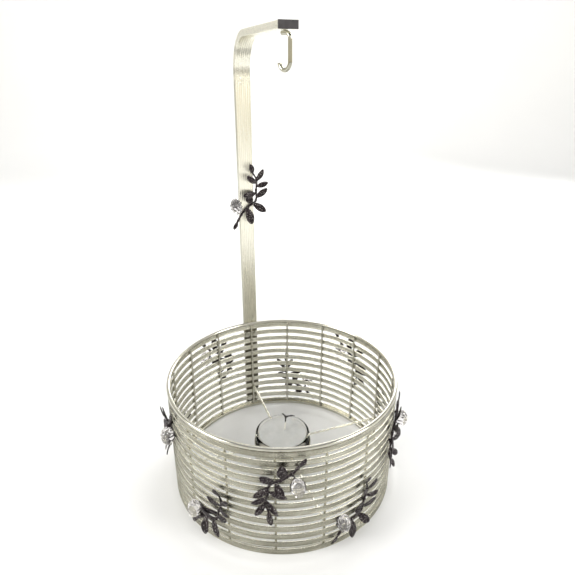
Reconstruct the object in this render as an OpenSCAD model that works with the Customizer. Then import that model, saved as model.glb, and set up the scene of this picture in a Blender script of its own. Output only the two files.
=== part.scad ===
// Standing sanctuary lamp: banded open basket with a central candle cup,
// a bent tube post that carries a hook, and cast olive sprigs with beads.
// Millimetres. +Z up, origin at the middle of the rest plane, post at +Y.

/* [Basket] */
// outer radius of the bands
basket_radius = 100; // [90:1:115]
// distance from one band to the next
band_pitch = 8.05; // [7.6:0.05:8.6]
// height of one band
band_height = 5; // [4:0.1:5.5]
// thickness of the band strip
band_thick = 1.2; // [1:0.1:1.6]
// number of bands
band_count = 13; // [11:1:14]
// diameter of the wire along the top edge
rim_d = 3.4; // [2.6:0.1:4]
// number of upright ribs, a multiple of four
rib_count = 16; // [12:4:20]
// diameter of a rib
rib_d = 2; // [1.6:0.1:2.4]
// width of the flat hoop the basket stands on
hoop_width = 3; // [2:0.1:4]
// height of that hoop
hoop_height = 2.5; // [2:0.1:4]

/* [Cup and candle] */
// height of the spokes above the rest plane
spoke_z = 27; // [22:0.5:32]
// diameter of a spoke
spoke_d = 2.2; // [1.8:0.1:2.6]
// outer radius of the cup holder
holder_radius = 26.5; // [25:0.5:30]
// wall of the cup holder
holder_wall = 0.8; // [0.8:0.1:1.2]
// height of the glass cup
glass_height = 28.2; // [28:0.2:32]
// wall of the glass cup
glass_wall = 2; // [1.6:0.1:2.6]
// height of the candle
candle_height = 24.1; // [18:0.1:24.4]

/* [Post] */
// width of the post tube
tube_width = 14; // [12:0.5:18]
// depth of the post tube
tube_depth = 5.4; // [5:0.1:7]
// wall of the post tube
tube_wall = 1; // [0.8:0.1:1.2]
// height of the arm's middle line
arm_z = 376; // [340:1:400]
// bend radius of the middle line
bend_radius = 29.4; // [24:0.1:36]
// how far the arm reaches past the basket's axis
arm_reach = 14.7; // [12:0.1:20]

/* [Hook] */
// hook wire diameter
hook_d = 3; // [2:0.1:3.2]
// radius of the hook's bowl, middle of the wire
bowl_radius = 5.2; // [5:0.1:7]
// length of the straight shank
shank_length = 13.8; // [8:0.1:18]
// how far the hook is turned from the arm's direction
hook_turn = 22.5; // [0:0.5:90]

/* [Sprigs] */
// radius of the eight-sided crystal bead, over its corners
bead_radius = 5.4; // [4.4:0.1:5.6]
// length of the crystal bead
bead_length = 14.4; // [10:0.2:16]
// height of the lower sprigs' middle
low_z = 31; // [31:1:36]
// height of the upper sprigs' middle
high_z = 69; // [64:1:74]
// bearing of the first sprig, clockwise from the post
first_bearing = 28; // [26:0.5:30]
// angle from one sprig to the next
sprig_step = 34.4; // [33.8:0.1:34.8]
// height of the sprig on the post
post_sprig_z = 238; // [200:1:280]
// thickness of a leaf
leaf_thick = 1.2; // [1:0.1:1.5]

/* [Hidden] */
$fn = 96;

fit = 0.1;                                    // gap between pieces that come apart
band_inner = basket_radius - band_thick;
band_top = (band_count - 1) * band_pitch + band_height;
rim_z = band_top + rim_d / 2;
rim_radius = basket_radius + 0.3 - rim_d / 2; // stands 0.3 proud of the bands
rib_ring = band_inner - rib_d / 2;

holder_inner = holder_radius - holder_wall;
holder_top = spoke_z + 2;
holder_height = 20;
holder_floor = 1;
cup_base_z = holder_top - holder_height + holder_floor + fit;
cup_radius = holder_inner - 0.5;
cup_floor = 3;
cup_inner = cup_radius - glass_wall;
candle_radius = cup_inner - 0.6;
candle_z = cup_base_z + cup_floor + fit;
wax_z = candle_z + candle_height;
pool_depth = 0.8;
wick_base = [3.5, 3.5, wax_z + 0.2];          // where it leaves the wax and starts to lean
wick_depth = 14;                              // how deep it runs in the wax
wick_fork = [5.6, 6.6, wax_z + 9.8];
wick_ends = [[2.4, 8.3, wax_z + 15], [13.2, 3.2, wax_z + 12.9]];
wick_d = 1.2;

post_y = basket_radius + 0.4 + tube_depth / 2; // middle of the upright tube
post_foot_z = 0.5;
bend_y = post_y - bend_radius;
bend_z = arm_z - bend_radius;
post_front = post_y - tube_depth / 2;
arm_under = arm_z - tube_depth / 2;
plug_flange = 1;
plug_depth = 3.6;
screw_x = 4.5;
screw_d = 2.5;
screw_gap = 0.05;
screw_head_y = band_inner - 0.3;
screw_bands = [1, band_count - 2];

pin_y = -8.5;                                 // the hook turns about an upright line here
pin_d = 2;
pin_gap = 0.08;                               // running gap around the pin
pin_head_d = 3.6;
pin_head_h = 0.9;
hook_top = arm_under - 0.3 - hook_d / 2;      // middle of the wire that crosses under the arm
hook_tail = 2.6;                              // how far that wire runs past the pin
shoulder_radius = 3.6;
bowl_z = hook_top - shoulder_radius - shank_length;

stem_d = 2.2;
stem_lift = 1.8;                              // stem's middle above the surface it lies on
bead_lift = 6;
bead_at = [-12.5, -4];
seat_lift = 0.4;                              // underside of the saddle that holds the bead
bead_waist = 4.6;                             // length of the bead's straight middle
bead_tip = 2.4;                               // radius of its flat ends
stem = [[-15, -19.5], [-9.5, -14], [-1, -9], [7.5, -5.5], [10.5, 4], [13.5, 13], [11.5, 20.5]];
high_turn = 186;                              // upper sprigs hang the other way round
post_turn = 14;
// base x, base y, direction, length, width, lift
leaves = [[-15, -19.5, 228, 9, 4, 4], [-2.5, -10, 268, 16, 8, 14], [4, -7, 310, 15, 7, 20],
          [8.5, -3, 26, 14, 6.5, 16], [11.5, 7, 6, 12, 5.5, 22], [13, 12, 48, 13, 5.5, 16],
          [11.5, 20, 98, 11, 5, 24], [12, 10, 128, 14, 5.5, 20], [9.5, 1, 168, 15, 6, 16],
          [3, -7, 112, 13, 7, 24]];

silver = [0.78, 0.77, 0.72];
gunmetal = [0.22, 0.18, 0.2];
crystal = [0.9, 0.92, 0.95];
wax = [0.93, 0.92, 0.87];

// straight round wire from a to b
module rod(a, b, d) {
    v = b - a;
    len = norm(v);
    translate(a) rotate([0, acos(v[2] / len), atan2(v[1], v[0])]) cylinder(d = d, h = len, $fn = 32);
}

// wire through all the points, with a slightly fuller round knot at each
module wire(points, d) {
    for (k = [0 : len(points) - 2]) rod(points[k], points[k + 1], d);
    for (p = points) translate(p) sphere(d = 1.1 * d, $fn = 32);
}

// part of a round wire ring in the YZ plane, from angle a0 (0 is +Y, 90 is +Z)
module arc_yz(y, z, r, d, a0, turn) {
    translate([0, y, z]) rotate([90, 0, 90]) rotate([0, 0, a0])
        rotate_extrude(angle = turn) translate([r, 0]) circle(d = d, $fn = 48);
}

// flat ring with a square section
module hoop(r, t, z, h) {
    translate([0, 0, z]) difference() {
        cylinder(r = r, h = h, $fn = 180);
        translate([0, 0, -1]) cylinder(r = r - t, h = h + 2, $fn = 180);
    }
}

module screw_places() {
    for (k = screw_bands, side = [-1, 1])
        translate([side * screw_x, 0, k * band_pitch + band_height / 2]) rotate([-90, 0, 0]) children();
}

module wall_bands() {
    color(silver) difference() {
        for (k = [0 : band_count - 1]) hoop(basket_radius, band_thick, k * band_pitch, band_height);
        screw_places() translate([0, 0, band_inner - 2])
            cylinder(d = screw_d + 2 * screw_gap, h = 4, $fn = 32);
    }
}

module rim_wire() {
    color(silver) translate([0, 0, rim_z])
        rotate_extrude($fn = 180) translate([rim_radius, 0]) circle(d = rim_d, $fn = 48);
}

module ribs() {
    color(silver) for (k = [0 : rib_count - 1]) rotate([0, 0, -k * 360 / rib_count])
        translate([0, rib_ring, hoop_height]) cylinder(d = rib_d, h = band_top - hoop_height, $fn = 32);
}

module base_hoop() {
    color(silver) hoop(band_inner, hoop_width, 0, hoop_height);
}

module spokes() {
    color(silver) for (k = [0 : 3]) rotate([0, 0, -90 * k]) translate([0, holder_radius, spoke_z])
        rotate([-90, 0, 0]) cylinder(d = spoke_d, h = rib_ring - rib_d / 2 - holder_radius, $fn = 32);
}

module cup_holder() {
    color(silver) translate([0, 0, holder_top - holder_height]) difference() {
        cylinder(r = holder_radius, h = holder_height);
        translate([0, 0, holder_floor]) cylinder(r = holder_inner, h = holder_height);
    }
}

module glass_cup() {
    color(crystal, 0.4) translate([0, 0, cup_base_z]) difference() {
        cylinder(r = cup_radius, h = glass_height);
        translate([0, 0, cup_floor]) cylinder(r = cup_inner, h = glass_height);
    }
}

module candle() {
    pool_radius = 60;
    color(wax) translate([0, 0, candle_z]) difference() {
        cylinder(r = candle_radius, h = candle_height);
        translate([wick_base[0], wick_base[1], candle_height - wick_depth])
            cylinder(d = wick_d + 0.02, h = wick_depth + 1, $fn = 32);
        translate([0, 0, candle_height - pool_depth + pool_radius]) sphere(r = pool_radius, $fn = 180);
    }
}

module wick() {
    color(wax) {
        translate([wick_base[0], wick_base[1], wax_z - wick_depth])
            cylinder(d = wick_d, h = wick_base[2] - wax_z + wick_depth, $fn = 32);
        translate(wick_base) sphere(d = 1.1 * wick_d, $fn = 32);
        rod(wick_base, wick_fork, wick_d);
    }
}

// charred fork: its knot just presses on the end of the wick
module wick_tip() {
    lean = (wick_fork - wick_base) / norm(wick_fork - wick_base);
    knot = wick_fork + lean * (0.55 * wick_d - 0.04);
    color(gunmetal) wire([wick_ends[0], knot, wick_ends[1]], wick_d);
}

// upright, bend and arm, grown outwards by g; run past the ends by g too when g is negative
module bent_bar(g) {
    w = tube_width + 2 * g;
    t = tube_depth + 2 * g;
    over = max(0, -g);
    translate([-w / 2, post_y - t / 2, post_foot_z - over]) cube([w, t, bend_z - post_foot_z + over]);
    translate([0, bend_y, bend_z]) rotate([90, 0, 90])
        rotate_extrude(angle = 90, $fn = 120) translate([bend_radius - t / 2, -w / 2]) square([t, w]);
    translate([-w / 2, -arm_reach - over, arm_z - t / 2]) cube([w, bend_y + arm_reach + over, t]);
}

module post_tube() {
    color(silver) difference() {
        bent_bar(0);
        bent_bar(-tube_wall);
        translate([0, pin_y, arm_under - 1]) cylinder(d = pin_d + 2 * pin_gap, h = tube_wall + 2, $fn = 48);
        screw_places() translate([0, 0, post_front - 1])
            cylinder(d = screw_d + 2 * screw_gap, h = tube_wall + 2, $fn = 32);
    }
}

module post_screws() {
    color(silver) screw_places() {
        translate([0, 0, screw_head_y - 1.6]) cylinder(d = 5, h = 1.6, $fn = 32);
        translate([0, 0, screw_head_y]) cylinder(d = screw_d, h = post_front + 3 - screw_head_y, $fn = 32);
    }
}

module end_plug() {
    color([0.1, 0.1, 0.1]) {
        translate([-tube_width / 2, -arm_reach - plug_flange, arm_z - tube_depth / 2])
            cube([tube_width, plug_flange, tube_depth]);
        translate([tube_wall - tube_width / 2, -arm_reach, arm_z - tube_depth / 2 + tube_wall])
            cube([tube_width - 2 * tube_wall, plug_depth, tube_depth - 2 * tube_wall]);
    }
}

// pin that carries the hook: its head turns on the arm's lower wall, inside the tube
module hook_pin() {
    head_z = arm_under + tube_wall + fit;
    color(silver) translate([0, pin_y, 0]) {
        translate([0, 0, head_z]) cylinder(d = pin_head_d, h = pin_head_h, $fn = 48);
        translate([0, 0, hook_top]) cylinder(d = pin_d, h = head_z - hook_top, $fn = 48);
    }
}

// drawn in the YZ plane about the pin's line, then turned
module hook() {
    color(silver) translate([0, pin_y, 0]) rotate([0, 0, hook_turn]) difference() {
        union() {
            rod([0, hook_tail, hook_top], [0, shoulder_radius - bowl_radius, hook_top], hook_d);
            arc_yz(shoulder_radius - bowl_radius, hook_top - shoulder_radius,
                   shoulder_radius, hook_d, 90, 90);
            rod([0, -bowl_radius, bowl_z], [0, -bowl_radius, bowl_z + shank_length], hook_d);
            arc_yz(0, bowl_z, bowl_radius, hook_d, 180, 172);
        }
        translate([0, 0, hook_top]) cylinder(d = pin_d, h = hook_d, $fn = 48);
    }
}

// leaf outline from two crossed discs, base at the origin, pointing along +X
module leaf(len, width) {
    r = (len * len + width * width) / (4 * width);
    intersection() {
        translate([len / 2, r - width / 2, 0]) cylinder(r = r, h = leaf_thick, center = true, $fn = 64);
        translate([len / 2, width / 2 - r, 0]) cylinder(r = r, h = leaf_thick, center = true, $fn = 64);
    }
}

function turned(p, a) = [p[0] * cos(a) - p[1] * sin(a), p[0] * sin(a) + p[1] * cos(a)];

// a point of a sprig that wraps the wall: p is across and up as seen from outside
function on_wall(bearing, z, p, lift) = let (b = bearing - p[0] / (basket_radius + stem_lift) * 180 / PI,
    r = basket_radius + lift) [r * sin(b), r * cos(b), z + p[1]];

module wall_frame(bearing, z, p, lift) {
    translate(on_wall(bearing, z, p, lift))
        rotate([0, 0, p[0] / (basket_radius + stem_lift) * 180 / PI - bearing])
            rotate([90, 0, 180]) children();
}

// foot that joins the sprig to the nearest band
module foot(z, p) {
    band = round((z + p[1] - band_height / 2) / band_pitch) * band_pitch + band_height / 2;
    rod(on_wall(first_bearing, z, p, stem_lift), on_wall(first_bearing, band, [p[0], 0], 0.5), 1.6);
    wall_frame(first_bearing, band, [p[0], 0], 0) cylinder(d = 2.6, h = 0.9, $fn = 32);
}

// one cast sprig on the wall at the first bearing, turned by a, standing on the given feet
module sprig(z, a, feet) {
    color(gunmetal) difference() {
        union() {
            wire([for (p = stem) on_wall(first_bearing, z, turned(p, a), stem_lift)], stem_d);
            for (l = leaves) wall_frame(first_bearing, z, turned(l, a), stem_lift)
                rotate([0, 0, l[2] + a]) rotate([0, -l[5], 0]) leaf(l[3], l[4]);
            for (p = feet) foot(z, turned(p, a));
            rod(on_wall(first_bearing, z, turned(stem[1], a), stem_lift),
                on_wall(first_bearing, z, turned(bead_at, a), seat_lift + 0.9), 1.8);
            wall_frame(first_bearing, z, turned(bead_at, a), seat_lift)
                cylinder(r = 3.2, h = 1.6, $fn = 48);
        }
        bead(z, a, 0.02);
    }
}

// eight-sided crystal with tapered ends, its length along the sprig's own upright, grown by g
module bead(z, a, g = 0) {
    taper = (bead_length - bead_waist) / 2;
    r = bead_radius + g;
    tip = bead_tip + g;
    color(crystal) wall_frame(first_bearing, z, turned(bead_at, a), bead_lift)
        rotate([0, 0, a]) rotate([90, 0, 0]) rotate([0, 0, 22.5]) {
            translate([0, 0, -bead_waist / 2 - taper]) cylinder(r1 = tip, r2 = r, h = taper, $fn = 8);
            translate([0, 0, -bead_waist / 2]) cylinder(r = r, h = bead_waist, $fn = 8);
            translate([0, 0, bead_waist / 2]) cylinder(r1 = r, r2 = tip, h = taper, $fn = 8);
        }
}

module wall_sprig(i) {
    rotate([0, 0, (1 - i) * sprig_step])
        sprig(i % 2 == 1 ? low_z : high_z, i % 2 == 1 ? 0 : high_turn, [stem[1], stem[4]]);
}

module wall_bead(i) {
    rotate([0, 0, (1 - i) * sprig_step]) bead(i % 2 == 1 ? low_z : high_z, i % 2 == 1 ? 0 : high_turn);
}

// the same casting, moved to the front of the post
module on_post() {
    translate([0, post_front + basket_radius, post_sprig_z - low_z])
        rotate([0, 0, first_bearing - 180]) children();
}

module post_sprig() {
    on_post() sprig(low_z, post_turn, [stem[2], (stem[2] + stem[3]) / 2]);
}

module post_bead() {
    on_post() bead(low_z, post_turn);
}

wall_bands();
rim_wire();
ribs();
base_hoop();
spokes();
cup_holder();
glass_cup();
candle();
wick();
wick_tip();
post_tube();
post_screws();
end_plug();
hook_pin();
hook();
wall_sprig(1);  // sprig_1
wall_sprig(2);  // sprig_2
wall_sprig(3);  // sprig_3
wall_sprig(4);  // sprig_4
wall_sprig(5);  // sprig_5
wall_sprig(6);  // sprig_6
wall_sprig(7);  // sprig_7
wall_sprig(8);  // sprig_8
wall_sprig(9);  // sprig_9
wall_sprig(10);  // sprig_10
post_sprig();
wall_bead(1);  // bead_1
wall_bead(2);  // bead_2
wall_bead(3);  // bead_3
wall_bead(4);  // bead_4
wall_bead(5);  // bead_5
wall_bead(6);  // bead_6
wall_bead(7);  // bead_7
wall_bead(8);  // bead_8
wall_bead(9);  // bead_9
wall_bead(10);  // bead_10
post_bead();
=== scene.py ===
import math

import bmesh
import bpy
import numpy as np
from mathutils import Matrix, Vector


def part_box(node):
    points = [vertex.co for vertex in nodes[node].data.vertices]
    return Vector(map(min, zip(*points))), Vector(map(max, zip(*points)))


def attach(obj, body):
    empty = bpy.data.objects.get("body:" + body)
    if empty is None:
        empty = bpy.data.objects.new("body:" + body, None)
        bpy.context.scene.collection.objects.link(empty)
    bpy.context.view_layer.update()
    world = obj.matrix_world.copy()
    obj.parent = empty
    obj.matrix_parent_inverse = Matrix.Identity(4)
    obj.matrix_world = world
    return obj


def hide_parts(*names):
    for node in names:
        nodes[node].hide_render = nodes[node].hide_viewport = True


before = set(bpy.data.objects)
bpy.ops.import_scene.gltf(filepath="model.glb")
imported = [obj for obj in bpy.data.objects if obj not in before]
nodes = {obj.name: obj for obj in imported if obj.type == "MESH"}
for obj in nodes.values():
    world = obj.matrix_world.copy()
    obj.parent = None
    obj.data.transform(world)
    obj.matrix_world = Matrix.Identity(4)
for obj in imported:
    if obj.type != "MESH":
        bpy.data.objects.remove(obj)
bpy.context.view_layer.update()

MM = 0.001
collection = bpy.context.scene.collection


# ---------------------------------------------------------------- node helpers
class Nodes:
    """A short way to write a material's node tree."""

    def __init__(self, name):
        self.mat = bpy.data.materials.new(name)
        self.mat.use_nodes = True
        self.tree = self.mat.node_tree
        self.tree.nodes.clear()
        self.out = self.add("ShaderNodeOutputMaterial")
        self.bsdf = self.add("ShaderNodeBsdfPrincipled")
        self.link(self.bsdf.outputs[0], self.out.inputs[0])

    def add(self, kind, **values):
        node = self.tree.nodes.new(kind)
        for key, value in values.items():
            setattr(node, key, value)
        return node

    def link(self, a, b):
        self.tree.links.new(a, b)

    def put(self, socket, value):
        if isinstance(value, bpy.types.NodeSocket):
            self.link(value, socket)
        else:
            socket.default_value = value

    def set(self, **values):
        for key, value in values.items():
            self.put(self.bsdf.inputs[key.replace("_", " ")], value)

    def uv(self, scale=(1, 1, 1)):
        coord = self.add("ShaderNodeUVMap")
        return self.scaled(coord.outputs[0], scale)

    def position(self, scale=(1, 1, 1)):
        coord = self.add("ShaderNodeTexCoord")
        return self.scaled(coord.outputs["Object"], scale)

    def scaled(self, vector, scale):
        mapping = self.add("ShaderNodeMapping")
        mapping.inputs["Scale"].default_value = scale
        self.link(vector, mapping.inputs["Vector"])
        return mapping.outputs[0]

    def noise(self, vector, scale=1.0, detail=4.0, rough=0.55, distortion=0.0):
        node = self.add("ShaderNodeTexNoise")
        self.link(vector, node.inputs["Vector"])
        node.inputs["Scale"].default_value = scale
        node.inputs["Detail"].default_value = detail
        node.inputs["Roughness"].default_value = rough
        node.inputs["Distortion"].default_value = distortion
        return node.outputs["Fac"]

    def cells(self, vector, scale=1.0, randomness=1.0):
        node = self.add("ShaderNodeTexVoronoi", feature="F1")
        self.link(vector, node.inputs["Vector"])
        node.inputs["Scale"].default_value = scale
        node.inputs["Randomness"].default_value = randomness
        return node.outputs["Distance"]

    def waves(self, vector, scale, distortion=0.0):
        node = self.add("ShaderNodeTexWave", wave_type="BANDS", bands_direction="DIAGONAL")
        self.link(vector, node.inputs["Vector"])
        node.inputs["Scale"].default_value = scale
        node.inputs["Distortion"].default_value = distortion
        node.inputs["Detail"].default_value = 2.0
        node.inputs["Detail Scale"].default_value = 1.5
        return node.outputs["Fac"]

    def math(self, kind, a, b=0.5):
        node = self.add("ShaderNodeMath", operation=kind)
        self.put(node.inputs[0], a)
        self.put(node.inputs[1], b)
        return node.outputs[0]

    def remap(self, value, low, high, to_low=0.0, to_high=1.0):
        node = self.add("ShaderNodeMapRange")
        self.put(node.inputs["Value"], value)
        node.inputs["From Min"].default_value = low
        node.inputs["From Max"].default_value = high
        node.inputs["To Min"].default_value = to_low
        node.inputs["To Max"].default_value = to_high
        return node.outputs[0]

    def mix(self, factor, first, second):
        node = self.add("ShaderNodeMix", data_type="RGBA")
        self.put(node.inputs[0], factor)
        self.put(node.inputs[6], first)
        self.put(node.inputs[7], second)
        return node.outputs[2]

    def axes(self, vector):
        node = self.add("ShaderNodeSeparateXYZ")
        self.link(vector, node.inputs[0])
        return node.outputs["X"], node.outputs["Y"], node.outputs["Z"]

    def ramp(self, value, stops):
        node = self.add("ShaderNodeValToRGB")
        elements = node.color_ramp.elements
        while len(elements) < len(stops):
            elements.new(0.5)
        for element, (place, color) in zip(elements, stops):
            element.position = place
            element.color = (*color, 1)
        self.put(node.inputs[0], value)
        return node.outputs[0]

    def bump(self, height, strength=0.3, distance=0.0002, after=None):
        node = self.add("ShaderNodeBump")
        node.inputs["Strength"].default_value = strength
        node.inputs["Distance"].default_value = distance
        self.link(height, node.inputs["Height"])
        if after is not None:
            self.link(after, node.inputs["Normal"])
        return node.outputs[0]


# ---------------------------------------------------------------- materials
def knurled_silver():
    """Silver-plated strip: fine diagonal knurling; the outer faces are coloured darker than the inner ones,
    as painted shade.
    """
    n = Nodes("knurled_silver")
    fine = n.uv((1000, 1000, 1))
    one = n.waves(n.scaled(fine, (1.0, 1.0, 1)), 0.30, 2.2)
    two = n.waves(n.scaled(fine, (-1.0, 1.0, 1)), 0.30, 2.2)
    grain = n.noise(fine, 1.3, 5.0, 0.7)
    knurl = n.math("ADD", n.math("MULTIPLY", one, two), n.math("MULTIPLY", grain, 1.1))
    broad = n.noise(n.scaled(fine, (0.03, 0.16, 1)), 1.0, 3.0, 0.6, 0.4)
    tone = n.math("ADD", n.math("MULTIPLY", broad, 0.5), n.math("MULTIPLY", grain, 0.5))
    # painted shade: the outer faces take this darker copy of the colour, the inner faces the lighter one
    # below
    shaded_outside = n.ramp(tone, [(0.32, (0.17, 0.164, 0.126)), (0.5, (0.34, 0.330, 0.267)),
                            (0.66, (0.57, 0.557, 0.472))])
    lit_inside = n.ramp(tone, [(0.30, (0.50, 0.486, 0.405)), (0.5, (0.66, 0.647, 0.56)),
                           (0.68, (0.80, 0.79, 0.715))])
    # picks the outer faces of the strips, which get the painted shade
    plan = n.scaled(n.add("ShaderNodeTexCoord").outputs["Object"], (1, 1, 0))
    length = n.add("ShaderNodeVectorMath", operation="LENGTH")
    n.link(plan, length.inputs[0])
    side = n.remap(length.outputs["Value"], 0.0992, 0.0997)
    first = n.bump(broad, 0.10, 0.0006)
    color = n.mix(side, lit_inside, shaded_outside)
    n.set(Base_Color=color, Metallic=1.0, Roughness=n.remap(grain, 0.25, 0.75, 0.12, 0.36),
          Normal=n.bump(knurl, 0.60, 0.00022, first))
    return n.mat


def polished_silver(name="polished_silver", low=0.10, high=0.26, tint=(0.60, 0.585, 0.51)):
    """Plain plated wire and sheet: nearly smooth, with faint drawing marks and tarnish."""
    n = Nodes(name)
    place = n.position((1000, 1000, 1000))
    marks = n.noise(place, 0.9, 4.0, 0.6)
    soft = n.noise(place, 0.07, 2.0, 0.5)
    color = n.ramp(soft, [(0.3, tuple(0.86 * c for c in tint)), (0.7, tint)])
    n.set(Base_Color=color, Metallic=1.0, Roughness=n.remap(marks, 0.3, 0.7, low, high),
          Normal=n.bump(marks, 0.12, 0.00008))
    return n.mat


def brushed_silver():
    """The post: scratches along its length and pits where it bends; painted shade behind the bands, towards
    the foot and along both narrow sides, and two painted dark reflections across the bend.
    """
    n = Nodes("brushed_silver")
    along = n.uv((1000, 1000, 1))
    streak = n.noise(n.scaled(along, (2.6, 0.035, 1)), 1.0, 5.0, 0.7)
    pits = n.cells(n.scaled(along, (0.9, 0.9, 1)), 1.0, 1.0)
    soft = n.noise(n.scaled(along, (0.05, 0.012, 1)), 1.0, 2.0, 0.5)
    clean = n.ramp(soft, [(0.3, (0.86, 0.835, 0.70)), (0.7, (0.95, 0.93, 0.82))])
    x, y, z = n.axes(n.add("ShaderNodeTexCoord").outputs["Object"])
    # painted shade where the bands lie against its front face
    above = n.remap(z, 0.1000, 0.1030)
    behind = n.remap(y, 0.1012, 0.1022)
    free = n.math("MAXIMUM", above, behind)
    # painted shade: darker towards the foot and along both narrow sides
    foot = n.remap(z, 0.105, 0.225, 0.62, 1.0)
    # two soft painted dark reflections across the bend, broken up by the pits
    run = n.axes(n.uv((1, 1, 1)))[1]
    wander = n.math("MULTIPLY", n.math("SUBTRACT", streak, 0.5), 0.006)
    length = n.math("ADD", run, wander)
    lower_dark_reflection = n.remap(n.math("ABSOLUTE", n.math("SUBTRACT", length, 0.3475)), 0.0010, 0.0050, 0.66, 1.0)
    # the upper painted dark reflection
    upper = n.remap(n.math("ABSOLUTE", n.math("SUBTRACT", length, 0.3660)), 0.0010, 0.0045, 0.72, 1.0)
    bent = n.remap(z, 0.328, 0.342)
    # painted shade along the narrow sides, less of it in the bend
    edge = n.remap(n.math("ABSOLUTE", x), 0.0064, 0.0069, 1.0, 0.62)
    edge = n.math("MAXIMUM", edge, n.math("MULTIPLY", bent, 0.93))
    dots = n.remap(n.math("MULTIPLY", pits, bent), 0.38, 0.62, 1.0, 0.84)
    shade = n.math("MULTIPLY", n.math("MULTIPLY", foot, edge), n.math("MULTIPLY", lower_dark_reflection, upper))
    shade = n.math("MULTIPLY", shade, dots)
    # the clean colour times the painted shade, the painted dark reflections and the pits
    shaded_clean = n.add("ShaderNodeVectorMath", operation="SCALE")
    n.link(clean, shaded_clean.inputs[0])
    n.link(shade, shaded_clean.inputs["Scale"])
    # the dark colour is the painted shade behind the bands
    color = n.mix(free, (0.16, 0.15, 0.12, 1), shaded_clean.outputs[0])
    first = n.bump(streak, 0.34, 0.00012)
    dents = n.math("MULTIPLY", pits, n.remap(bent, 0.0, 1.0, 0.3, 1.6))
    n.set(Base_Color=color, Metallic=1.0, Roughness=n.remap(streak, 0.3, 0.7, 0.20, 0.38),
          Anisotropic=0.35, Normal=n.bump(dents, 0.30, 0.00018, first))
    return n.mat


def cast_gunmetal():
    """Blackened casting: coarse glittering stipple, worn bright on its high spots."""
    n = Nodes("cast_gunmetal")
    place = n.position((1000, 1000, 1000))
    grain = n.noise(place, 1.5, 6.0, 0.7)
    dots = n.cells(place, 1.05, 0.9)
    soft = n.noise(place, 0.22, 3.0, 0.6)
    peak = n.remap(dots, 0.42, 0.12, 0.0, 1.0)
    worn = n.math("MULTIPLY", peak, n.remap(grain, 0.40, 0.56, 0.15, 1.0))
    ground = n.math("MULTIPLY", n.math("ADD", soft, grain), 0.35)
    color = n.ramp(n.math("ADD", ground, n.math("MULTIPLY", worn, 0.6)),
                   [(0.28, (0.011, 0.008, 0.010)), (0.42, (0.034, 0.026, 0.029)),
                    (0.60, (0.16, 0.138, 0.138)), (0.86, (0.74, 0.72, 0.68))])
    n.set(Base_Color=color, Metallic=0.85, Roughness=n.remap(worn, 0.0, 1.0, 0.46, 0.24),
          Normal=n.bump(n.math("ADD", n.math("MULTIPLY", grain, 0.5), peak), 0.75, 0.0003))
    return n.mat


def cut_crystal():
    n = Nodes("cut_crystal")
    place = n.position((1000, 1000, 1000))
    veil = n.noise(place, 0.35, 2.0, 0.5)
    color = n.ramp(veil, [(0.3, (0.93, 0.90, 0.93)), (0.7, (1.0, 0.99, 0.96))])
    n.set(Base_Color=color, Roughness=0.02, IOR=1.55, Transmission_Weight=0.94)
    n.set(Normal=n.bump(veil, 0.03, 0.00005))
    return n.mat


def clear_glass():
    n = Nodes("clear_glass")
    place = n.position((1000, 1000, 1000))
    ripple = n.noise(n.scaled(place, (0.06, 0.06, 0.12)), 1.0, 2.0, 0.5)
    color = n.ramp(ripple, [(0.3, (0.90, 0.89, 0.87)), (0.7, (0.95, 0.945, 0.93))])
    n.set(Base_Color=color, Roughness=0.05, IOR=1.11, Transmission_Weight=1.0,
          Normal=n.bump(ripple, 0.05, 0.0003))
    return n.mat


def candle_wax():
    n = Nodes("candle_wax")
    place = n.position((1000, 1000, 1000))
    mottle = n.noise(place, 0.12, 4.0, 0.6)
    grain = n.noise(place, 1.1, 4.0, 0.6)
    # grey rather than white wax: painted shade for the candle sitting down in the glass
    color = n.ramp(mottle, [(0.3, (0.49, 0.495, 0.475)), (0.7, (0.58, 0.58, 0.56))])
    n.set(Base_Color=color, Roughness=n.remap(grain, 0.3, 0.7, 0.34, 0.52), IOR=1.44,
          Subsurface_Weight=0.45, Subsurface_Scale=0.004, Normal=n.bump(grain, 0.10, 0.0003))
    n.bsdf.inputs["Subsurface Radius"].default_value = (1.0, 0.85, 0.65)
    return n.mat


def fibre(name, dark, light):
    n = Nodes(name)
    place = n.position((1000, 1000, 400))
    strand = n.noise(place, 2.2, 4.0, 0.7)
    n.set(Base_Color=n.ramp(strand, [(0.3, dark), (0.7, light)]),
          Roughness=n.remap(strand, 0.2, 0.8, 0.7, 0.95), Normal=n.bump(strand, 0.6, 0.0003))
    return n.mat


def black_plastic():
    n = Nodes("black_plastic")
    place = n.position((1000, 1000, 1000))
    grain = n.noise(place, 3.2, 5.0, 0.7)
    soft = n.noise(place, 0.25, 2.0, 0.5)
    n.set(Base_Color=n.ramp(soft, [(0.3, (0.020, 0.018, 0.019)), (0.7, (0.042, 0.037, 0.040))]),
          Roughness=n.remap(grain, 0.3, 0.7, 0.38, 0.6), Normal=n.bump(grain, 0.25, 0.0001))
    return n.mat


def pale_floor():
    n = Nodes("pale_floor")
    place = n.position((1, 1, 1))
    tone = n.noise(place, 2.0, 3.0, 0.5)
    color = n.ramp(tone, [(0.3, (0.80, 0.80, 0.795)), (0.7, (0.825, 0.825, 0.82))])
    n.set(Base_Color=color, Roughness=0.9)
    return n.mat


SILVER_BAND = knurled_silver()
SILVER = polished_silver()
SILVER_POST = brushed_silver()
SILVER_WIRE = polished_silver("bright_wire", 0.06, 0.20, (0.88, 0.865, 0.79))
HOOK_WIRE = polished_silver("hook_wire", 0.05, 0.16, (0.46, 0.45, 0.375))
GUNMETAL = cast_gunmetal()
CRYSTAL = cut_crystal()
GLASS = clear_glass()
WAX = candle_wax()
COTTON = fibre("waxed_cotton", (0.72, 0.69, 0.62), (0.90, 0.88, 0.82))
CHAR = fibre("charred_cotton", (0.008, 0.007, 0.007), (0.05, 0.045, 0.045))
PLASTIC = black_plastic()


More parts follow.
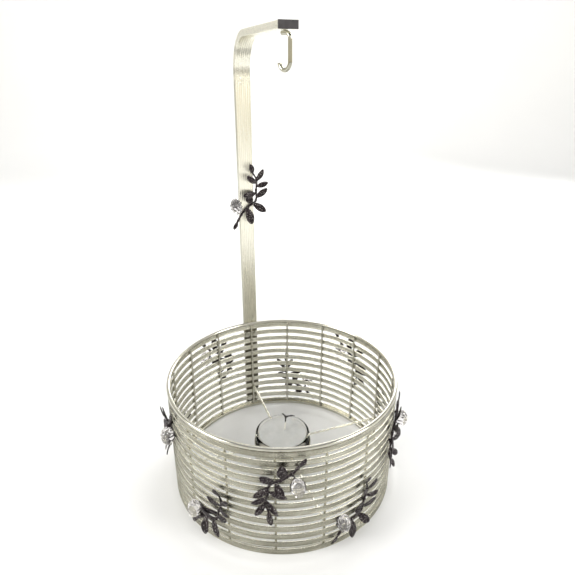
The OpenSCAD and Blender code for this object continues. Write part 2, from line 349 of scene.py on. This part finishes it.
# ---------------------------------------------------------------- mesh helpers
def piece(name, verts, faces, mat, body, stands_for=(), uv=None, smooth=True, edge_angle=None):
    mesh = bpy.data.meshes.new(name)
    mesh.from_pydata([tuple(v) for v in verts], [], [tuple(f) for f in faces])
    if uv is not None:
        layer = mesh.uv_layers.new(name="UVMap")
        for loop in mesh.loops:
            layer.data[loop.index].uv = uv[loop.vertex_index]
    mesh.materials.append(mat)
    mesh.polygons.foreach_set("use_smooth", [smooth] * len(mesh.polygons))
    mesh.update()
    bm = bmesh.new()
    bm.from_mesh(mesh)
    bmesh.ops.recalc_face_normals(bm, faces=bm.faces)
    bm.to_mesh(mesh)
    bm.free()
    if edge_angle is not None:
        mesh.set_sharp_from_angle(angle=math.radians(edge_angle))
    obj = bpy.data.objects.new(name, mesh)
    collection.objects.link(obj)
    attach(obj, body)
    if stands_for:
        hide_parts(*stands_for)


class Mesh:
    """Collects vertices, faces and texture places of one piece, in metres."""

    def __init__(self):
        self.v = []
        self.f = []
        self.uv = []

    def grid(self, rows, uvs=None, close_rows=False, close_cols=False):
        """rows: list of equally long point lists; neighbours are joined by quads."""
        start = len(self.v)
        wide = len(rows[0])
        tall = len(rows)
        for i, row in enumerate(rows):
            for j, p in enumerate(row):
                self.v.append(tuple(p))
                self.uv.append(uvs[i][j] if uvs is not None else (0.0, 0.0))
        for i in range(tall if close_rows else tall - 1):
            for j in range(wide if close_cols else wide - 1):
                a = start + i * wide + j
                b = start + i * wide + (j + 1) % wide
                c = start + ((i + 1) % tall) * wide + (j + 1) % wide
                d = start + ((i + 1) % tall) * wide + j
                self.f.append((a, b, c, d))
        return start

    def cap(self, ring):
        self.f.append(tuple(ring))

    def tube(self, points, radii, sides=16, round_ends=True):
        """A round tube along points, one radius each."""
        pts = [Vector(p) for p in points]
        rads = list(radii)
        if round_ends:
            d0 = (pts[0] - pts[1]).normalized()
            d1 = (pts[-1] - pts[-2]).normalized()
            r0 = rads[0]
            r1 = rads[-1]
            pts = [pts[0] + d0 * r0, pts[0] + d0 * r0 * 0.8, pts[0] + d0 * r0 * 0.4] + pts
            rads = [r0 * 0.12, r0 * 0.6, r0 * 0.917] + rads
            pts += [pts[-1] + d1 * r1 * 0.4, pts[-1] + d1 * r1 * 0.8, pts[-1] + d1 * r1]
            rads += [r1 * 0.917, r1 * 0.6, r1 * 0.12]
        rows = []
        uvs = []
        side = None
        run = 0.0
        for k, p in enumerate(pts):
            ahead = pts[min(k + 1, len(pts) - 1)] - pts[max(k - 1, 0)]
            t = ahead.normalized()
            if side is None:
                side = t.orthogonal().normalized()
            side = (side - t * side.dot(t)).normalized()
            other = t.cross(side)
            run += (p - pts[k - 1]).length if k else 0.0
            rows.append([p + side * math.cos(a) * rads[k] + other * math.sin(a) * rads[k]
                         for a in np.linspace(0, 2 * math.pi, sides, endpoint=False)])
            uvs.append([(j / sides * 2 * math.pi * 0.001, run) for j in range(sides)])
        start = self.grid(rows, uvs, close_cols=True)
        self.cap([start + j for j in range(sides)][::-1])
        self.cap([start + (len(pts) - 1) * sides + j for j in range(sides)])


def lathe(m, profile, count=160):
    """Revolves an open profile that starts and ends on the axis."""
    rows = []
    uvs = []
    angles = np.linspace(0, 2 * math.pi, count, endpoint=False)
    for r, z in profile:
        rows.append([(r * math.sin(a), r * math.cos(a), z) for a in angles])
        uvs.append([(r * 2 * math.pi * j / count, z) for j in range(count)])
    start = m.grid(rows, uvs, close_cols=True)
    m.cap([start + j for j in range(count)])
    m.cap([start + (len(profile) - 1) * count + j for j in range(count)][::-1])


def finish_cad(name, mat, bevel=None, angle=35):
    """A CAD node whose own shape is right: material, soft edges and smooth shading."""
    obj = nodes[name]
    obj.data.materials.clear()
    obj.data.materials.append(mat)
    for p in obj.data.polygons:
        p.use_smooth = True
        p.material_index = 0
    obj.data.set_sharp_from_angle(angle=math.radians(angle))
    if bevel:
        b = obj.modifiers.new("soft_edges", "BEVEL")
        b.width = bevel
        b.segments = 2
        b.limit_method = "ANGLE"
        b.angle_limit = math.radians(40)


# ---------------------------------------------------------------- basket
BAND_THICK = 1.2 * MM
BAND_HIGH = 5 * MM
PITCH = 8.05 * MM
BANDS = 13
RIBS = 16
lowest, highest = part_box("wall_bands")
R = round((highest.x - lowest.x) / 2, 4)

# one band's section in mm: the strip is flat with a slim raised bead along both edges
BAND_SECTION = [
    (0.00, 0.35), (0.12, 0.10), (0.35, 0.00), (0.85, 0.00), (1.08, 0.08), (1.19, 0.28), (1.19, 0.50),
    (1.08, 0.70), (0.92, 0.82), (0.86, 1.10), (0.87, 1.80), (0.88, 2.50), (0.87, 3.20), (0.86, 3.90),
    (0.92, 4.18), (1.08, 4.30), (1.19, 4.50), (1.19, 4.72), (1.08, 4.92), (0.85, 5.00), (0.35, 5.00),
    (0.12, 4.90), (0.00, 4.65), (0.00, 4.25), (0.16, 4.02), (0.20, 3.60), (0.19, 2.50), (0.20, 1.40),
    (0.16, 0.98), (0.00, 0.75)]


def bands():
    """The strips wander up and down by less than 0.1 mm, except the lowest, which stands level."""
    m = Mesh()
    steps = 300
    for k in range(BANDS):
        z0 = k * PITCH
        rows = []
        uvs = []
        for j in range(steps + 1):
            a = 2 * math.pi * j / steps
            wave = 0.05 * MM * math.sin(5 * a + 1.7 * k) + 0.04 * MM * math.sin(11 * a + 0.9 * k)
            rise = wave if k > 0 else 0
            row = []
            place = []
            for r, z in BAND_SECTION:
                reach = R - BAND_THICK + r * MM
                row.append((reach * math.sin(a), reach * math.cos(a), z0 + z * MM + rise))
                # the inner face runs back down, so the texture doesn't mirror there
                across = z + (6 - 2 * z if r < 0.3 else 0)
                place.append((a * R + 0.37 * k, z0 + across * MM))
            rows.append(row)
            uvs.append(place)
        m.grid(rows, uvs, close_cols=True)
    piece("bands", m.v, m.f, SILVER_BAND, "basket", ["wall_bands"], m.uv, edge_angle=50)


def rib_wires():
    """Drawn wire with a small weld swelling at each band."""
    lo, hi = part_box("ribs")
    rib_r = 1.0 * MM
    ring = R - BAND_THICK - rib_r
    inset = 0.2 * MM
    m = Mesh()
    for k in range(RIBS):
        a = 2 * math.pi * k / RIBS
        pts = []
        rads = []
        for z in np.linspace(lo.z + inset, hi.z - inset, 120):
            near = abs(((z - BAND_HIGH / 2) / PITCH + 0.5) % 1.0 - 0.5) * PITCH
            swell = 0.10 * MM * math.exp(-((near / (1.3 * MM)) ** 2))
            rads.append(rib_r - 0.06 * MM + swell)
            pts.append((ring * math.sin(a), ring * math.cos(a), z))
        m.tube(pts, rads, 12, round_ends=False)
    piece("rib_wires", m.v, m.f, SILVER, "basket", ["ribs"], m.uv)


# ---------------------------------------------------------------- cup and candle
AXIS = 0.0005  # radius at which a turned profile starts and ends


def holder_cup():
    """Thin spun sheet with a rolled lip and two turned lines."""
    lo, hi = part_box("cup_holder")
    ho = (hi.x - lo.x) / 2
    z0 = lo.z
    z1 = hi.z
    wi = ho - 0.8 * MM
    profile = [
        (AXIS, z0 + 1.0 * MM), (ho - 2.2 * MM, z0 + 1.0 * MM), (wi - 0.3 * MM, z0 + 1.3 * MM),
        (wi, z0 + 2.2 * MM), (wi, z1 - 1.3 * MM), (wi - 0.12 * MM, z1 - 0.7 * MM), (wi, z1 - 0.2 * MM),
        (ho - 0.4 * MM, z1), (ho - 0.1 * MM, z1 - 0.25 * MM), (ho, z1 - 0.8 * MM),
        (ho - 0.12 * MM, z1 - 1.4 * MM), (ho - 0.02 * MM, z1 - 1.8 * MM)]
    for groove in (0.35, 0.62):
        zg = z1 - groove * (z1 - z0)
        profile += [(ho - 0.02 * MM, zg + 0.35 * MM), (ho - 0.28 * MM, zg + 0.12 * MM),
                    (ho - 0.28 * MM, zg - 0.12 * MM), (ho - 0.02 * MM, zg - 0.35 * MM)]
    profile += [(ho - 0.02 * MM, z0 + 1.6 * MM), (ho - 0.4 * MM, z0 + 0.5 * MM),
                (ho - 1.4 * MM, z0), (AXIS, z0)]
    m = Mesh()
    lathe(m, profile)
    piece("holder_cup", m.v, m.f, SILVER, "basket", ["cup_holder"], m.uv, edge_angle=40)


def votive_glass():
    """Thick base, slightly drawn-in wall and a fire-polished rim."""
    lo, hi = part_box("glass_cup")
    go = (hi.x - lo.x) / 2
    z0 = lo.z
    z1 = hi.z
    w = 2.0 * MM
    gi = go - w
    profile = [
        (AXIS, z0 + 0.5 * MM), (go - 6 * MM, z0 + 0.4 * MM), (go - 4 * MM, z0), (go - 1.6 * MM, z0),
        (go - 0.5 * MM, z0 + 0.5 * MM), (go, z0 + 1.8 * MM), (go, z0 + 8 * MM),
        (go - 0.05 * MM, z1 - 10 * MM), (go, z1 - 2.2 * MM), (go - 0.1 * MM, z1 - 1.0 * MM),
        (go - 0.45 * MM, z1 - 0.3 * MM), (go - w / 2, z1),
        (gi + 0.45 * MM, z1 - 0.3 * MM), (gi + 0.1 * MM, z1 - 1.0 * MM), (gi, z1 - 2.2 * MM),
        (gi, z0 + 5.2 * MM), (gi - 0.5 * MM, z0 + 3.6 * MM), (gi - 1.8 * MM, z0 + 3.05 * MM),
        (AXIS, z0 + 3.0 * MM)]
    m = Mesh()
    lathe(m, profile)
    piece("votive_glass", m.v, m.f, GLASS, "cup", ["glass_cup"], m.uv, edge_angle=60)


def candle_body():
    """Rounded shoulder and a shallow melted pool."""
    lo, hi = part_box("candle")
    co = (hi.x - lo.x) / 2
    z0 = lo.z
    z1 = hi.z
    profile = [(AXIS, z0), (co - 0.8 * MM, z0), (co, z0 + 0.8 * MM), (co, z1 - 1.0 * MM),
               (co - 0.25 * MM, z1 - 0.35 * MM), (co - 0.9 * MM, z1 - 0.02 * MM),
               (co - 1.8 * MM, z1 - 0.06 * MM)]
    for s in np.linspace(0.86, 0.02, 14):
        profile.append((co * s, z1 - 0.8 * MM * (1 - s ** 2) - 0.05 * MM * math.sin(9 * s)))
    m = Mesh()
    lathe(m, profile)
    piece("candle_body", m.v, m.f, WAX, "candle", ["candle"], m.uv, edge_angle=60)


def wick():
    """Waxed stem, upright in the wax and leaning above it, with a charred fork."""
    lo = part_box("wick")[0]
    wax_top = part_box("candle")[1].z
    foot_x = 3.5 * MM
    foot_y = 3.5 * MM
    leaves_wax = Vector((foot_x, foot_y, wax_top + 0.2 * MM))
    fork = Vector((5.6 * MM, 6.6 * MM, wax_top + 9.8 * MM))
    pts = [Vector((foot_x, foot_y, z)) for z in np.linspace(lo.z + 0.7 * MM, wax_top - 1.2 * MM, 8)]
    for s in np.linspace(0, 1, 10):
        pts.append(leaves_wax.lerp(fork, s) + Vector((0.25 * MM * math.sin(3 * s), 0, 0)))
    m = Mesh()
    m.tube(pts, [0.58 * MM + 0.05 * MM * math.sin(7 * k) for k in range(len(pts))], 12)
    piece("wick_stem", m.v, m.f, COTTON, "candle", ["wick"], m.uv)
    knot = fork + Vector((0, 0, 1.2 * MM))
    steps = np.linspace(0, 1, 12)
    m = Mesh()
    for (ex, ey, ez), bow in [((2.6, 8.2, 14.8), 0.4), ((13.0, 3.3, 12.8), 0.7), ((4.8, 5.4, 6.2), -0.2)]:
        end = Vector((ex * MM, ey * MM, wax_top + ez * MM))
        pts = [knot.lerp(end, s) + Vector((0, 0, bow * MM * math.sin(math.pi * s))) for s in steps]
        m.tube(pts, [MM * (0.82 - 0.28 * s + 0.12 * math.sin(11 * s + bow)) for s in steps], 10)
    piece("wick_fork", m.v, m.f, CHAR, "candle", ["wick_tip"], m.uv)


# ---------------------------------------------------------------- post
TUBE_WIDE = 14 * MM
TUBE_DEEP = 5.4 * MM
TUBE_WALL = 1 * MM
BEND = 29.4 * MM


def post_path():
    """(y, z) and tilt of each section, up the post, round the bend and out along the arm."""
    lo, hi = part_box("post_tube")
    post_y = hi.y - TUBE_DEEP / 2
    arm_z = hi.z - TUBE_DEEP / 2
    bend_y = post_y - BEND
    bend_z = arm_z - BEND
    path = [((post_y, z), 0.0) for z in np.linspace(lo.z, bend_z, 48)]
    for a in np.linspace(0, math.pi / 2, 40)[1:]:
        path.append(((bend_y + BEND * math.cos(a), bend_z + BEND * math.sin(a)), a))
    path += [((y, arm_z), math.pi / 2) for y in np.linspace(bend_y, lo.y, 20)[1:]]
    return path


def tube_section(w, d, corner, flute):
    """(across, outward) points of a rounded rectangle; flute carves shallow grooves in both broad faces."""
    pts = []
    n = 56
    for side in (1, -1):
        for k in range(n + 1):
            s = k / n
            x = side * (-w / 2 + corner + s * (w - 2 * corner))
            dip = flute * (0.5 - 0.5 * math.cos(2 * math.pi * 7 * s)) if 0.02 < s < 0.98 else 0.0
            pts.append((x, side * (d / 2 - dip)))
        for a in np.linspace(0, math.pi, 11)[1:-1]:
            half = d / 2 - corner
            cx = side * (w / 2 - corner)
            cy = side * half * (1 if a < math.pi / 2 else -1)
            pts.append((cx + side * corner * math.sin(a), cy + side * corner * math.cos(a)))
    return pts


def post_bar():
    """Outer and inner skins swept along the path, joined at both ends."""
    path = post_path()
    outer = tube_section(TUBE_WIDE, TUBE_DEEP, 0.8 * MM, 0.16 * MM)
    inner = tube_section(TUBE_WIDE - 2 * TUBE_WALL, TUBE_DEEP - 2 * TUBE_WALL, 0.5 * MM, 0.0)
    m = Mesh()
    starts = []
    for loop in (outer, inner):
        rows = []
        uvs = []
        run = 0.0
        lengths = np.cumsum([0.0] + [math.dist(loop[k], loop[k - 1]) for k in range(1, len(loop))])
        for k, ((y, z), a) in enumerate(path):
            run += math.dist((y, z), path[k - 1][0]) if k else 0.0
            rows.append([(u, y + v * math.cos(a), z + v * math.sin(a)) for u, v in loop])
            uvs.append([(s, run) for s in lengths])
        starts.append(m.grid(rows, uvs, close_cols=True))
    n = len(outer)
    for end in (0, len(path) - 1):
        for k in range(n):
            a = starts[0] + end * n + k
            b = starts[0] + end * n + (k + 1) % n
            c = starts[1] + end * n + (k + 1) % n
            d = starts[1] + end * n + k
            m.f.append((a, b, c, d))
    piece("post_bar", m.v, m.f, SILVER_POST, "basket", ["post_tube"], m.uv, edge_angle=45)


bands()
rib_wires()
finish_cad("rim_wire", SILVER)
finish_cad("base_hoop", SILVER, 0.3 * MM)
finish_cad("spokes", SILVER_WIRE)
finish_cad("post_screws", SILVER, 0.35 * MM)
finish_cad("end_plug", PLASTIC, 0.35 * MM)
finish_cad("hook_pin", HOOK_WIRE)
finish_cad("hook", HOOK_WIRE)
holder_cup()
votive_glass()
candle_body()
wick()
post_bar()

# ---------------------------------------------------------------- sprigs and beads
# millimetres and degrees; a sprig's own plane has x across and y up
STEM_LIFT = 1.8
BEAD_LIFT = 6.0
SEAT_LIFT = 0.4
BEAD_R = 5.4
BEAD_LENGTH = 14.4
BEAD_WAIST = 4.6
BEAD_TIP = 2.4
BEAD_SIDES = 8
BAND_MID = 2.5
BAND_STEP = 8.05
STEM = [(-15, -19.5), (-9.5, -14), (-1, -9), (7.5, -5.5), (10.5, 4), (13.5, 13), (11.5, 20.5)]
# foot across and up, direction, length, width, lift off the wall
LEAVES = [
    (-15, -19.5, 228, 9, 4, 4),
    (-2.5, -10, 268, 16, 8, 14),
    (4, -7, 310, 15, 7, 20),
    (8.5, -3, 26, 14, 6.5, 16),
    (11.5, 7, 6, 12, 5.5, 22),
    (13, 12, 48, 13, 5.5, 16),
    (11.5, 20, 98, 11, 5, 24),
    (12, 10, 128, 14, 5.5, 20),
    (9.5, 1, 168, 15, 6, 16),
    (3, -7, 112, 13, 7, 24)]
BEAD_AT = (-12.5, -4)
LOW_Z = 31.0
HIGH_Z = 69.0
FIRST = 28.0
STEP = 34.4
HIGH_TURN = 186.0
POST_TURN = 14.0
POST_Z = 238.0
POST_FRONT = 100.4
WALL = 100.0


def turned(p, a):
    c = math.cos(math.radians(a))
    s = math.sin(math.radians(a))
    return p[0] * c - p[1] * s, p[0] * s + p[1] * c


class Place:
    """Where a sprig sits: maps its own across, up and outward millimetres to metres in the frame."""

    def __init__(self, bearing, z, turn, shift=(0, 0, 0)):
        self.bearing = bearing
        self.z = z
        self.turn = turn
        self.shift = Vector(shift)

    def frame(self, p, lift):
        x, y = turned(p, self.turn)
        swing = x / (WALL + STEM_LIFT)
        b = math.radians(self.bearing) - swing
        out = Vector((math.sin(b), math.cos(b), 0))
        across = Vector((-math.cos(b), math.sin(b), 0))
        at = out * (WALL + lift) + Vector((0, 0, self.z + y)) + self.shift
        return at * MM, across, Vector((0, 0, 1)), out

    def point(self, p, lift):
        return self.frame(p, lift)[0]


def smooth_path(points, per):
    """Catmull-Rom through the points."""
    pts = [Vector(p) for p in points]
    pts = [pts[0] * 2 - pts[1]] + pts + [pts[-1] * 2 - pts[-2]]
    out = []
    for k in range(1, len(pts) - 2):
        a, b, c, d = pts[k - 1:k + 3]
        for s in np.linspace(0, 1, per, endpoint=False):
            square = (2 * a - 5 * b + 4 * c - d) * s * s
            cube = (3 * b - a - 3 * c + d) * s ** 3
            out.append(0.5 * ((2 * b) + (c - a) * s + square + cube))
    out.append(pts[-2])
    return out


def leaf(m, place, spec, seed):
    """One olive leaf: cupped, with a midrib, slanting side veins and a full rounded edge."""
    u, v, angle, length, width, lift = spec
    at, across, up, out = place.frame((u, v), STEM_LIFT)
    a = math.radians(angle + place.turn)
    x = across * math.cos(a) + up * math.sin(a)
    y = -across * math.sin(a) + up * math.cos(a)
    t = math.radians(lift)
    x, z = x * math.cos(t) + out * math.sin(t), out * math.cos(t) - x * math.sin(t)
    local = np.random.default_rng(seed)
    curl = local.uniform(0.4, 1.1)
    twist = local.uniform(-0.25, 0.25)
    arch = local.uniform(0.3, 1.0)
    nu = 26
    nv = 12
    top = []
    bottom = []
    uvs = []
    for i in range(nu + 1):
        s = i / nu
        half = 0.5 * width * 0.985 * (math.sin(math.pi * s ** 1.12) ** 0.58 if 0 < s < 1 else 0.0)
        half = max(half, 0.40 * (1 - s) + 0.03)
        upper = []
        under = []
        places = []
        for j in range(nv + 1):
            c = -1 + 2 * j / nv
            w = half * c
            mid = arch * math.sin(math.pi * s) * 0.8 - 0.25 * s * s
            cup = curl * 0.16 * half * c * c
            tw = twist * s * w * 0.5
            rib = 0.34 * math.exp(-((w / 0.36) ** 2)) * (1 - 0.7 * s)
            slant = math.cos(2 * math.pi * (s * length / 1.45 - abs(w) * 0.42))
            vein = 0.13 * slant * min(1.0, abs(w) / 0.6) * (1 - c * c)
            thick = 0.56 * math.sqrt(max(0.0, 1 - c ** 4)) * min(1.0, 6 * (1 - s) + 0.15) + 0.03
            for sign, row in ((1, upper), (-1, under)):
                h = mid + cup + tw + sign * thick * 0.8 + (rib + vein if sign > 0 else 0.4 * rib)
                row.append(at + (x * (s * length) + y * w + z * h) * MM)
            places.append((s * length * MM, w * MM))
        top.append(upper)
        bottom.append(under)
        uvs.append(places)
    first = m.grid(top, uvs)
    second = m.grid(bottom, uvs)
    wide = nv + 1
    for i in range(nu):
        for j in (0, nv):
            here = i * wide + j
            m.f.append((first + here, first + here + wide, second + here + wide, second + here))
    for i in (0, nu):
        for j in range(nv):
            here = i * wide + j
            m.f.append((first + here, first + here + 1, second + here + 1, second + here))


def sprig_stem(m, place, seed):
    """Uneven twig with a swelling at each joint."""
    line = smooth_path([place.point(p, STEM_LIFT) for p in STEM], 8)
    n = len(line)
    phase = np.random.default_rng(seed).uniform(0, 6)
    rads = []
    for k in range(n):
        rads.append(MM * (1.2 - 0.42 * k / n + 0.10 * math.sin(k * 1.1 + phase) + 0.06 * math.sin(k * 2.7)))
    m.tube(line, rads, 14)
    for k, p in enumerate(STEM[1:-1]):
        c = place.point(p, STEM_LIFT)
        d = (place.point(STEM[k + 2], STEM_LIFT) - c).normalized()
        m.tube([c - d * 1.0 * MM, c - d * 0.3 * MM, c + d * 0.4 * MM, c + d * 1.0 * MM],
               [MM * r for r in (0.9, 1.38, 1.34, 0.9)], 12)


def sprig_feet(m, place, feet):
    """Short pegs from the stem to the middle of the nearest band."""
    for p in feet:
        x, y = turned(p, place.turn)
        band = round((place.z + y - BAND_MID) / BAND_STEP) * BAND_STEP + BAND_MID
        back = turned((x, band - place.z), -place.turn)
        a = place.point(p, STEM_LIFT)
        b = place.point(back, 0.15)
        m.tube([a, a.lerp(b, 0.5), a.lerp(b, 0.85), b], [0.75 * MM, 0.7 * MM, 0.95 * MM, 1.2 * MM], 12)


def bead_seat(m, place):
    """Short twig, a saddle under the crystal and four fine claws around it."""
    a = place.point(STEM[1], STEM_LIFT)
    b = place.point(BEAD_AT, SEAT_LIFT + 0.2)
    m.tube([a.lerp(b, s) for s in (0, 0.35, 0.7, 1)], [0.95 * MM, 0.78 * MM, 0.6 * MM, 0.5 * MM], 12)
    at, across, up, out = place.frame(BEAD_AT, 0)
    sides = 40
    saddle = [(0.02, 0.35), (2.6, 0.35), (3.1, 0.5), (3.2, 0.75), (3.0, 0.93), (2.4, 0.96), (0.02, 0.96)]
    rows = []
    for r, h in saddle:
        rows.append([at + (across * math.cos(q) * r + up * math.sin(q) * r + out * h) * MM
                     for q in np.linspace(0, 2 * math.pi, sides, endpoint=False)])
    start = m.grid(rows, None, close_cols=True)
    last = start + (len(saddle) - 1) * sides
    m.cap([start + j for j in range(sides)])
    m.cap([last + j for j in range(sides)][::-1])
    t = math.radians(place.turn)
    x = across * math.cos(t) + up * math.sin(t)
    y = -across * math.sin(t) + up * math.cos(t)
    claw = [(1.9, 0.6), (2.9, 0.75), (4.3, 2.0), (5.35, 3.6), (5.5, 5.2), (5.45, 6.6)]
    for sx in (-1, 1):
        for sy in (-1, 1):
            pts = [at + (x * sx * u + y * sy * 1.7 + out * h) * MM for u, h in claw]
            m.tube(pts, [MM * r for r in (0.5, 0.46, 0.42, 0.38, 0.34, 0.3)], 10)


def sprig(name, node, place, feet, seed):
    m = Mesh()
    sprig_stem(m, place, seed)
    for k, spec in enumerate(LEAVES):
        leaf(m, place, spec, seed * 31 + k)
    sprig_feet(m, place, feet)
    bead_seat(m, place)
    piece(name, m.v, m.f, GUNMETAL, "basket", [node], m.uv, edge_angle=70)


def bead(name, node, place):
    """A cut crystal: eight sides, tapered ends and a kite facet across every corner."""
    at, across, up, out = place.frame(BEAD_AT, BEAD_LIFT)
    a = math.radians(place.turn)
    x = across * math.cos(a) + up * math.sin(a)
    y = -across * math.sin(a) + up * math.cos(a)
    half = BEAD_LENGTH / 2
    waist = BEAD_WAIST / 2
    shoulder = (half + waist) / 2 + 0.4
    m = Mesh()
    rings = []
    # height, radius, and whether the corners are turned by half a side
    levels = [(-half, BEAD_TIP, 0), (-shoulder, 0.84 * BEAD_R, 1), (-waist * 0.75, BEAD_R, 0),
              (0.0, 0.985 * BEAD_R, 1), (waist * 0.75, BEAD_R, 0), (shoulder, 0.84 * BEAD_R, 1),
              (half, BEAD_TIP, 0)]
    for v, r, odd in levels:
        ids = []
        for j in range(BEAD_SIDES):
            q = 2 * math.pi * (j + 0.5 + 0.5 * odd) / BEAD_SIDES
            reach = r * (math.cos(math.pi / BEAD_SIDES) if odd else 1.0)
            ids.append(len(m.v))
            m.v.append(tuple(at + (x * reach * math.sin(q) + out * reach * math.cos(q) + y * v) * MM))
            m.uv.append((q, v))
        rings.append((ids, odd))
    for (low_ids, odd), (high_ids, _) in zip(rings, rings[1:]):
        for j in range(BEAD_SIDES):
            k = (j + 1) % BEAD_SIDES
            if odd:
                m.f += [(low_ids[j], high_ids[k], high_ids[j]), (low_ids[j], low_ids[k], high_ids[k])]
            else:
                m.f += [(low_ids[j], low_ids[k], high_ids[j]), (low_ids[k], high_ids[k], high_ids[j])]
    m.cap(rings[0][0][::-1])
    m.cap(rings[-1][0])
    piece(name, m.v, m.f, CRYSTAL, "basket", [node], m.uv, smooth=False)


for i in range(1, 11):
    low = i % 2 == 1
    place = Place(FIRST + (i - 1) * STEP, LOW_Z if low else HIGH_Z, 0.0 if low else HIGH_TURN)
    sprig(f"olive_sprig_{i}", f"sprig_{i}", place, [STEM[1], STEM[4]], 100 + i)
    bead(f"cut_bead_{i}", f"bead_{i}", place)
place = Place(180.0, LOW_Z, POST_TURN, (0, POST_FRONT + WALL, POST_Z - LOW_Z))
mid = ((STEM[2][0] + STEM[3][0]) / 2, (STEM[2][1] + STEM[3][1]) / 2)
sprig("olive_sprig_post", "post_sprig", place, [STEM[2], mid], 150)
bead("cut_bead_post", "post_bead", place)

# ---------------------------------------------------------------- stage, light, camera
HEADING = 19.98  # degrees from +Y that the camera looks towards
DOWN = 23.53  # degrees that it looks down
AHEAD = Vector((math.sin(math.radians(HEADING)), math.cos(math.radians(HEADING)), 0))
ASIDE = Vector((math.cos(math.radians(HEADING)), -math.sin(math.radians(HEADING)), 0))


def stage():
    """A floor that curves up into a backdrop."""
    half = 3.0
    back = 1.9
    top = 2.6
    turn = 0.5
    line = [(-2.2, 0.0), (back - turn, 0.0)]
    for a in np.linspace(0, math.pi / 2, 24)[1:]:
        line.append((back - turn + turn * math.sin(a), turn - turn * math.cos(a)))
    line.append((back, top))
    verts = [tuple(AHEAD * d + ASIDE * s + Vector((0, 0, z))) for s in (-half, half) for d, z in line]
    n = len(line)
    mesh = bpy.data.meshes.new("floor")
    mesh.from_pydata(verts, [], [(k, k + 1, n + k + 1, n + k) for k in range(n - 1)])
    for p in mesh.polygons:
        p.use_smooth = True
    mesh.materials.append(pale_floor())
    floor = bpy.data.objects.new("floor", mesh)
    collection.objects.link(floor)


def area(name, place, target, size, power, color=(1, 1, 1)):
    """A softbox; place and target are ahead, aside and up, in metres."""
    spot = AHEAD * place[0] + ASIDE * place[1] + Vector((0, 0, place[2]))
    aim = AHEAD * target[0] + ASIDE * target[1] + Vector((0, 0, target[2]))
    light = bpy.data.lights.new(name, "AREA")
    light.shape = "RECTANGLE"
    light.size = size[0]
    light.size_y = size[1]
    light.energy = power
    light.color = color
    obj = bpy.data.objects.new(name, light)
    collection.objects.link(obj)
    obj.location = spot
    obj.rotation_euler = (aim - spot).to_track_quat("-Z", "Y").to_euler()


def studio_world():
    """Pale all round, brightest just above the horizon and dimmer overhead."""
    world = bpy.data.worlds.new("studio")
    bpy.context.scene.world = world
    world.use_nodes = True
    tree = world.node_tree
    coord = tree.nodes.new("ShaderNodeTexCoord")
    axes = tree.nodes.new("ShaderNodeSeparateXYZ")
    span = tree.nodes.new("ShaderNodeMapRange")
    span.inputs["From Min"].default_value = -0.2
    span.inputs["From Max"].default_value = 1.0
    ramp = tree.nodes.new("ShaderNodeValToRGB")
    stops = [(0.0, (0.62, 0.58, 0.48)), (0.16, (0.92, 0.84, 0.66)), (0.25, (1.0, 0.97, 0.88)),
             (0.42, (0.95, 0.95, 0.93)), (0.62, (0.42, 0.42, 0.41)), (1.0, (0.34, 0.35, 0.37))]
    elements = ramp.color_ramp.elements
    while len(elements) < len(stops):
        elements.new(0.5)
    for element, (place, color) in zip(elements, stops):
        element.position = place
        element.color = (*color, 1)
    tree.links.new(coord.outputs["Generated"], axes.inputs[0])
    tree.links.new(axes.outputs["Z"], span.inputs["Value"])
    tree.links.new(span.outputs[0], ramp.inputs[0])
    background = tree.nodes["Background"]
    tree.links.new(ramp.outputs[0], background.inputs[0])
    background.inputs[1].default_value = 1.0


def viewpoint():
    data = bpy.data.cameras.new("camera")
    data.sensor_width = 36
    data.lens = 31.37
    data.clip_start = 0.01
    data.clip_end = 50
    camera = bpy.data.objects.new("camera", data)
    collection.objects.link(camera)
    camera.location = (-0.12441, -0.35595, 0.34941)
    camera.rotation_euler = (math.radians(90 - DOWN), 0, -math.radians(HEADING))
    bpy.context.scene.camera = camera
    bpy.context.scene.view_settings.view_transform = "Standard"
    bpy.context.scene.view_settings.look = "None"


stage()
area("key", (-0.5, -1.5, 1.05), (0, 0, 0.15), (1.0, 0.8), 27, (1.0, 0.985, 0.95))
area("fill", (-0.7, 1.5, 0.95), (0, 0, 0.15), (0.8, 0.8), 20, (1.0, 0.99, 0.97))
area("rear", (1.3, 0.5, 0.72), (0, 0, 0.12), (0.9, 0.4), 12)
area("backdrop", (0.9, 0, 1.7), (1.9, 0, 0.5), (2.4, 0.5), 9)
area("top", (0.1, 0, 1.9), (0, 0, 0.1), (1.0, 1.0), 3.5)
studio_world()
viewpoint()

bpy.context.view_layer.update()
